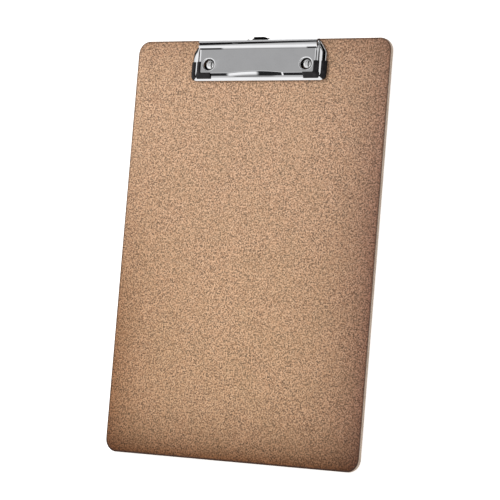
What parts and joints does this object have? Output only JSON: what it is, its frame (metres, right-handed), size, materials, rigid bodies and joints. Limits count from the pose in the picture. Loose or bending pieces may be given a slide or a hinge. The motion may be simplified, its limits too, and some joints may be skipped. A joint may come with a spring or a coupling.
{
  "type": "clipboard",
  "caption": "Letter-size brown hardboard clipboard with a low-profile chromed spring clip, black rubber grip corners and a slide-out hanging tab.",
  "frame": {"origin": "bottom centre of the overall box: on the back face of the board, 0.8 mm above the middle of the board's length", "axes": "+X along the board's width, +Y along its length towards the clip, +Z out of the writing face"},
  "size_m": [0.2286, 0.3192, 0.0099],
  "materials": {
    "hardboard": "smooth pressed-fibre face, fine brown speckle, matte",
    "chrome": "bright chrome plate on pressed sheet",
    "steel": "zinc-bright pressed steel",
    "rivet_steel": "bright plated domed rivet",
    "spring_steel": "drawn spring wire, oiled",
    "rubber": "satin black rubber",
    "black_tab": "gloss black enamelled sheet steel"
  },
  "bodies": {
    "board_assembly": {"board": "hardboard", "base_plate": "steel", "hinge_pin": "steel", "rivet_left": "rivet_steel", "rivet_right": "rivet_steel", "backing_washer_left": "steel", "backing_washer_right": "steel", "torsion_spring_left": "spring_steel", "torsion_spring_right": "spring_steel"},
    "clip_lever": {"clip_plate": "chrome", "rubber_corner_left": "rubber", "rubber_corner_right": "rubber"},
    "hanging_tab": {"hanging_loop": "black_tab"}
  },
  "joints": [
    {"name": "clip_hinge", "type": "hinge", "parent": "board_assembly", "child": "clip_lever", "pos_m": [0, 0.15448, 0.0067], "axis": [-1, 0, 0], "range_deg": [0, 35], "stiffness_Nm_per_rad": 0.25, "springref_deg": -57.3, "deforming": ["torsion_spring_left", "torsion_spring_right"]},
    {"name": "tab_slide", "type": "slide", "parent": "board_assembly", "child": "hanging_tab", "axis": [0, 1, 0], "range_m": [0, 0.013]}
  ]
}
